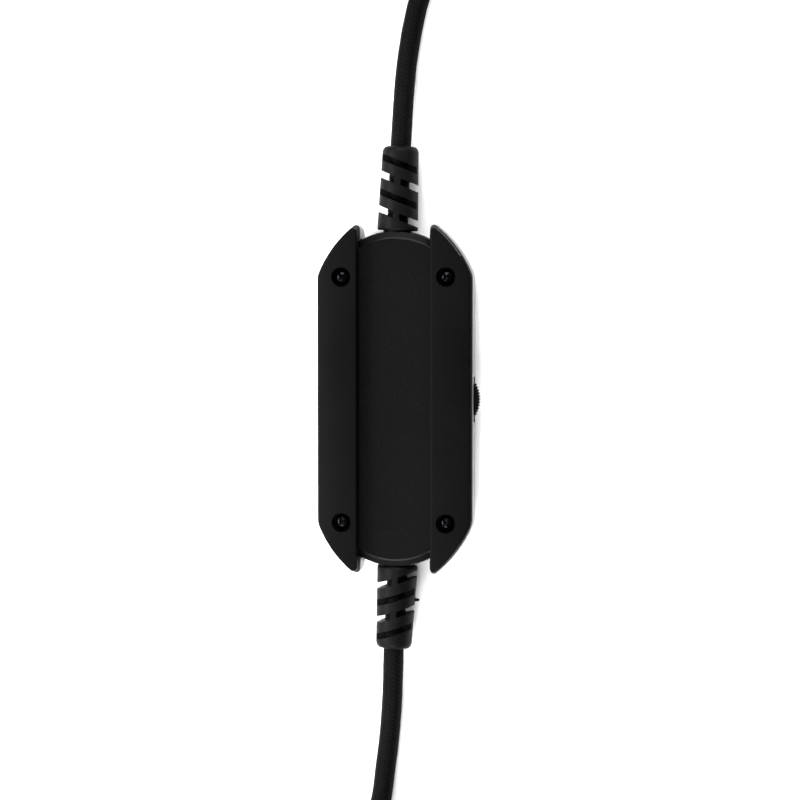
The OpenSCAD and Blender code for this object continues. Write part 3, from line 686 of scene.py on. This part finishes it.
def strap_line(lead):
    """The line of a strap's middle in the plane across the hank, in millimetres: once round, then over
    its own start."""
    waist = WAIST_IN * (1 + math.cos(math.pi * TIE_W / 2 / RUN_H)) / 2
    half = TIE_T / 2
    side = CORD_R * RUN_SLANT + SIDE_GAP - waist
    x0, x1 = LEFT_IN - OUTER_R - side - half, OUTER_R + side + half
    z0, z1 = TIE_T + TABLE_GAP - half, tie_top(lead["layers"]) + half
    bend = STRAP_BEND + half
    line = [(STRAP_START, z1)]
    for x, z, start in ((x1, z1, 90), (x1, z0, 0), (x0, z0, -90), (x0, z1, 180)):
        middle_x = x - math.copysign(bend, x)
        middle_z = z - math.copysign(bend, z - (z0 + z1) / 2)
        for angle in range(0, 91, 15):
            turn = math.radians(start - angle)
            line.append((middle_x + bend * math.cos(turn), middle_z + bend * math.sin(turn)))
    return line + [(x, z1 + (TIE_T + LAP_GAP) * laps + lift) for x, laps, lift in LAP]


def strap(lead):
    """A hook and loop strap as a bmesh: a ribbon pulled along its line, given its thickness and a rounded
    free end."""
    bm = bmesh.new()
    line = strap_line(lead)
    y = lead["hank_y"]
    spots = [y - TIE_W / 2 + TIE_W * i / STRAP_STEPS for i in range(STRAP_STEPS + 1)]
    verts = [bm.verts.new((line[0][0], spot, line[0][1])) for spot in spots]
    edges = [bm.edges.new(pair) for pair in zip(verts, verts[1:])]
    for (x0, z0), (x1, z1) in zip(line, line[1:]):
        made = bmesh.ops.extrude_edge_only(bm, edges=edges)["geom"]
        edges = newest(made, bmesh.types.BMEdge)
        verts = newest(made, bmesh.types.BMVert)
        bmesh.ops.translate(bm, verts=verts, vec=(x1 - x0, 0, z1 - z0))
    for v in verts:
        off = (v.co.y - y) / (TIE_W / 2)
        v.co.x -= STRAP_TIP * (1 - math.sqrt(max(1 - off * off, 0)))
    bmesh.ops.recalc_face_normals(bm, faces=bm.faces)
    bm.normal_update()
    skin = TIE_T - LAP_GAP
    for v in bm.verts:
        v.co += v.normal * skin / 2
    bmesh.ops.solidify(bm, geom=bm.faces, thickness=skin)
    rims = [e for e in bm.edges if e.is_manifold and e.calc_face_angle(0) > math.radians(60)]
    rounded(bm, rims, STRAP_EDGE, 2)
    bmesh.ops.recalc_face_normals(bm, faces=bm.faces)
    for face in bm.faces:
        face.smooth = True
    place = Matrix.Diagonal((MM, MM, MM, 1)) @ Matrix.Translation((HANK_X, 0, 0))
    if lead["turned"]:
        place = Matrix.Rotation(math.pi, 4, "Z") @ place
    bmesh.ops.transform(bm, verts=bm.verts, matrix=place)
    return bm


# ---------------------------------------------------------------- operators


class BOX_OT_stage(bpy.types.Operator):
    """Adds the camera, the lights and the floor"""

    bl_idname = "box.stage"
    bl_label = "Stage"

    def execute(self, context):
        scene = context.scene
        stage = scene.box_stage
        scene.view_settings.view_transform = "Standard"
        scene.view_settings.look = "None"
        camera = bpy.data.cameras.new("camera")
        camera.sensor_width = SENSOR
        camera.lens = SENSOR * (CAMERA - TARGET).length / (PICTURE * PIXEL)
        camera.clip_start = 0.01
        seat = bpy.data.objects.new("camera", camera)
        back = (CAMERA - TARGET).normalized()
        right = Vector((0, 1, 0)).cross(back).normalized()
        axes = Matrix((right, back.cross(right), back)).transposed()
        seat.matrix_world = Matrix.Translation(CAMERA) @ axes.to_4x4()
        scene.collection.objects.link(seat)
        scene.camera = seat

        world = bpy.data.worlds.new("studio")
        scene.world = world
        world.use_nodes = True
        sky = world.node_tree.nodes["Background"].inputs
        sky["Color"].default_value = (1, 1, 1, 1)
        sky["Strength"].default_value = WORLD_STRENGTH
        for name, where, size, power in LAMPS:
            lamp = bpy.data.lights.new(name, "AREA")
            lamp.size = size
            lamp.energy = power
            holder = bpy.data.objects.new(name, lamp)
            holder.location = where
            holder.rotation_euler = Vector(where).to_track_quat("Z", "Y").to_euler()
            scene.collection.objects.link(holder)

        bm = bmesh.new()
        bmesh.ops.create_grid(bm, x_segments=2, y_segments=2, size=stage.floor_size / 2)
        mesh = bpy.data.meshes.new("floor")
        bm.to_mesh(mesh)
        bm.free()
        mesh.materials.append(floor_paper(list(stage.floor)))
        floor = bpy.data.objects.new("floor", mesh)
        scene.collection.objects.link(floor)
        return {"FINISHED"}


class BOX_OT_straps(bpy.types.Operator):
    """Adds the hook and loop straps that hold the hanks"""

    bl_idname = "box.straps"
    bl_label = "Straps"

    def execute(self, context):
        tape = woven_strap(list(context.scene.box_leads.strap))
        for side, lead in LEADS:
            weigh(piece(f"{side}_strap", strap(lead), [tape], "housing", [f"{side}_tie"]))
        return {"FINISHED"}


class BOX_OT_cords(bpy.types.Operator):
    """Adds the two braided cords, from the box through their hanks to their plugs"""

    bl_idname = "box.cords"
    bl_label = "Cords"

    def execute(self, context):
        leads = context.scene.box_leads
        girth = math.pi * leads.diameter
        sleeve = braided_polyester(list(leads.braid), leads.yarn, leads.pick, girth)
        for side, lead in LEADS:
            path = smooth_path(cord_points(lead), PATH_STEP)
            bm = swept_cord(path, leads.diameter / 2)
            nodes = [f"{side}_lead", f"{side}_hank"]
            cord = piece(f"{side}_cord", bm, [sleeve], "housing", nodes)
        return {"FINISHED"}


def arch_edge(edge):
    """Whether an edge lies between the channel's floor and the sloping band at its end."""
    if len(edge.link_faces) != 2 or abs(edge.verts[0].co.y) <= BAND_Y:
        return False
    slope, flat = sorted(face.normal.z for face in edge.link_faces)
    return flat > FLOOR_RISE and BAND_RISE[0] < slope < BAND_RISE[1]


class BOX_OT_cover(bpy.types.Operator):
    """Adds the moulded rear cover: satin wings round a grained channel"""

    bl_idname = "box.cover"
    bl_label = "Rear Cover"

    def execute(self, context):
        housing = context.scene.box_housing
        base = list(housing.cover)
        bm = softened("rear_cover", housing.edge, COVER_CREASE, rolled=arch_edge, roll=ARCH_EDGE)
        for face in bm.faces:
            middle = face.calc_center_median()
            level = abs(middle.z - CHANNEL_Z) < CHANNEL_NEAR
            if face.material_index == SATIN and level and abs(middle.x) < CHANNEL_HALF:
                face.material_index = GRAIN
            elif face.normal.z < FLANK_RISE and abs(middle.x) > FLANK_X:
                face.material_index = MATT
        finishes = [
            grained_abs(base, "abs_satin_tool_finish", 0.42, 0.3 * MM, 0.008 * MM),
            grained_abs(base, "abs_spark_grain", 0.48, 0.45 * MM, 0.06 * MM, 0.5),
            grained_abs(base, "abs_burnished_edge", 0.24, 0.3 * MM, 0.002 * MM, level=0.06),
            grained_abs(base, "abs_matt_flank", 0.85, 0.3 * MM, 0.02 * MM, level=0.01),
        ]
        weigh(piece("cover", bm, finishes, "housing", ["rear_cover"]))
        return {"FINISHED"}


class BOX_OT_shell(bpy.types.Operator):
    """Adds the silver front shell"""

    bl_idname = "box.shell"
    bl_label = "Front Shell"

    def execute(self, context):
        housing = context.scene.box_housing
        bm = softened("front_shell", housing.edge * SHELL_EDGE)
        paint = silver_paint(list(housing.shell))
        weigh(piece("shell", bm, [paint], "housing", ["front_shell"]))
        return {"FINISHED"}


class BOX_OT_controls(bpy.types.Operator):
    """Adds the volume wheel and the mute slider"""

    bl_idname = "box.controls"
    bl_label = "Controls"

    def execute(self, context):
        housing = context.scene.box_housing
        rubber = moulded_rubber(list(housing.rubber), "wheel_tpe", 0.42)
        bm = softened("volume_wheel", KNURL_EDGE, segments=1)
        piece("wheel_grip", bm, [rubber], "wheel", ["volume_wheel"])
        plastic = grained_abs(list(housing.cover), "abs_knob", 0.4, 0.3 * MM, 0.006 * MM)
        bm = softened("mute_slider", KNOB_EDGE)
        piece("mute_knob", bm, [plastic], "mute", ["mute_slider"])
        return {"FINISHED"}


class BOX_OT_screws(bpy.types.Operator):
    """Adds the blackened cross-recess screws"""

    bl_idname = "box.screws"
    bl_label = "Screws"

    def execute(self, context):
        steel = plated_metal(list(context.scene.box_housing.steel), "black_zinc_steel", 0.16, 0.15)
        bm = softened("cover_screws", SCREW_EDGE, segments=3)
        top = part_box("cover_screws")[1][2]
        shallow, deep = RECESS_FLOOR
        recess = []
        for face in bm.faces:
            depth = top - face.calc_center_median().z
            if shallow < depth < deep and face.normal.z > UPWARD:
                recess.append(face)
        bmesh.ops.poke(
            bm, faces=recess, offset=-RECESS_POINT, center_mode="MEAN", use_relative_offset=False
        )
        for v in bm.verts:
            if v.co.z > top - DOME_EDGE:
                out = math.hypot(abs(v.co.x) - SCREW_X, abs(v.co.y) - SCREW_Y) / DOME_RADIUS
                v.co.z += DOME_HEIGHT * max(1 - out * out, 0)
        heads = [v for v in bm.verts if v.co.z > top - HEAD_DEPTH]
        bmesh.ops.translate(bm, verts=heads, vec=(0, 0, HEAD_LIFT))
        weigh(piece("cross_screws", bm, [steel], "housing", ["cover_screws"]))
        return {"FINISHED"}


class BOX_OT_reliefs(bpy.types.Operator):
    """Adds the two slotted strain reliefs"""

    bl_idname = "box.reliefs"
    bl_label = "Strain Reliefs"

    def execute(self, context):
        rubber = moulded_rubber(list(context.scene.box_housing.rubber))
        for side, _ in LEADS:
            node = f"{side}_strain_relief"
            bm = softened(node, SLEEVE_EDGE, segments=3)
            if side == "lower":
                bmesh.ops.create_cone(
                    bm,
                    cap_ends=True,
                    segments=12,
                    radius1=GATE_ROOT,
                    radius2=GATE_TIP,
                    depth=GATE_LENGTH,
                    matrix=Matrix.Translation(GATE) @ Matrix.Rotation(GATE_TILT, 4, "Y"),
                )
            weigh(piece(f"{side}_sleeve", bm, [rubber], "housing", [node]))
        return {"FINISHED"}


class BOX_OT_plugs(bpy.types.Operator):
    """Finishes the plugs at the leads' ends"""

    bl_idname = "box.plugs"
    bl_label = "Plugs"

    def execute(self, context):
        scene = context.scene
        grip = moulded_rubber(list(scene.box_housing.rubber), "plug_tpe", 0.5)
        gold = plated_metal(list(scene.box_leads.contact), "gold_plated_brass", 0.22, 0.1)
        ring = moulded_rubber(linear("#101010"), "insulator_pom", 0.3)
        for side, _ in LEADS:
            dress(f"{side}_plug_grip", grip)
            dress(f"{side}_plug_contacts", gold)
            dress(f"{side}_plug_insulator", ring)
        return {"FINISHED"}


class BOX_OT_inside(bpy.types.Operator):
    """Finishes the board and the parts inside the housing"""

    bl_idname = "box.inside"
    bl_label = "Inside Parts"

    def execute(self, context):
        bright = plated_metal(linear("#c4c4c8"), "nickel_plated_steel", 0.3)
        tin = plated_metal(linear("#cfcfca"), "tinned_copper", 0.35)
        dark = moulded_rubber(linear("#191919"), "moulded_epoxy", 0.45)
        foil = plated_metal(linear("#39425a"), "sleeved_aluminium", 0.4)
        vinyl = moulded_rubber(linear("#8e1f1f"), "wire_pvc", 0.35)
        black = plated_metal(linear("#56565a"), "black_zinc_small", 0.32)
        for node, material in (
            ("circuit_board", board_laminate()),
            ("board_screws", bright),
            ("amplifier_chip", dark),
            ("capacitors", foil),
            ("potentiometer_body", dark),
            ("potentiometer_terminals", tin),
            ("potentiometer_shaft", bright),
            ("wheel_screw", black),
            ("switch_lever", dark),
            ("switch_body", bright),
            ("switch_terminals", tin),
            ("upper_crimp", bright),
            ("lower_crimp", bright),
            ("upper_conductors", vinyl),
            ("lower_conductors", vinyl),
        ):
            dress(node, material)
        return {"FINISHED"}


OPERATORS = (
    BOX_OT_stage,
    BOX_OT_straps,
    BOX_OT_cords,
    BOX_OT_cover,
    BOX_OT_shell,
    BOX_OT_controls,
    BOX_OT_screws,
    BOX_OT_reliefs,
    BOX_OT_plugs,
    BOX_OT_inside,
)


class BOX_PT_panel(bpy.types.Panel):
    """Lists the steps and the settings"""

    bl_idname = "BOX_PT_panel"
    bl_label = "Control Box"
    bl_space_type = "VIEW_3D"
    bl_region_type = "UI"
    bl_category = "Control Box"

    def draw(self, context):
        for attribute, _ in GROUPS:
            group = getattr(context.scene, attribute)
            box = self.layout.box()
            for name in group.bl_rna.properties.keys():
                if name not in ("rna_type", "name"):
                    box.prop(group, name)
        for operator in OPERATORS:
            self.layout.operator(operator.bl_idname)


def register():
    for name, group in GROUPS:
        bpy.utils.register_class(group)
        setattr(bpy.types.Scene, name, bpy.props.PointerProperty(type=group))
    for cls in OPERATORS + (BOX_PT_panel,):
        bpy.utils.register_class(cls)


def unregister():
    for cls in (BOX_PT_panel,) + OPERATORS[::-1]:
        bpy.utils.unregister_class(cls)
    for name, group in GROUPS[::-1]:
        delattr(bpy.types.Scene, name)
        bpy.utils.unregister_class(group)


def main():
    register()
    for operator in OPERATORS:
        getattr(bpy.ops.box, operator.bl_idname.split(".")[1])()


if __name__ == "__main__":
    main()
